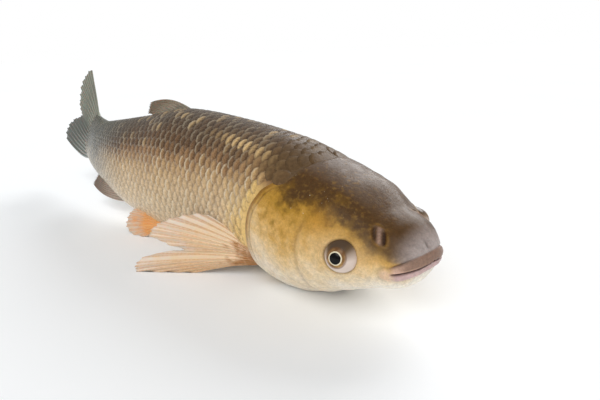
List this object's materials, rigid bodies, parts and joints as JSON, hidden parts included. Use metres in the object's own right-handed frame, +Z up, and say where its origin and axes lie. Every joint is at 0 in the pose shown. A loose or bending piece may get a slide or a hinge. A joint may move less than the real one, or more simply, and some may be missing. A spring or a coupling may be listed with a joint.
{
  "type": "whole raw fish",
  "caption": "Whole raw freshwater fish lying upright on its belly, tail curved up and away, paired fins spread on the table.",
  "frame": {"origin": "on the table, under the middle of the fish's box", "axes": "+Z up, +X towards the snout, +Y towards the fish's left side"},
  "size_m": [0.4798, 0.1632, 0.1262],
  "materials": {
    "skin": "wet scales and bare head skin, glossy",
    "eye": "wet eye with a golden iris and a black pupil, high gloss"
  },
  "bodies": {
    "root": {"fish_body": "skin", "eye_right": "eye", "eye_left": "eye"}
  },
  "joints": []
}
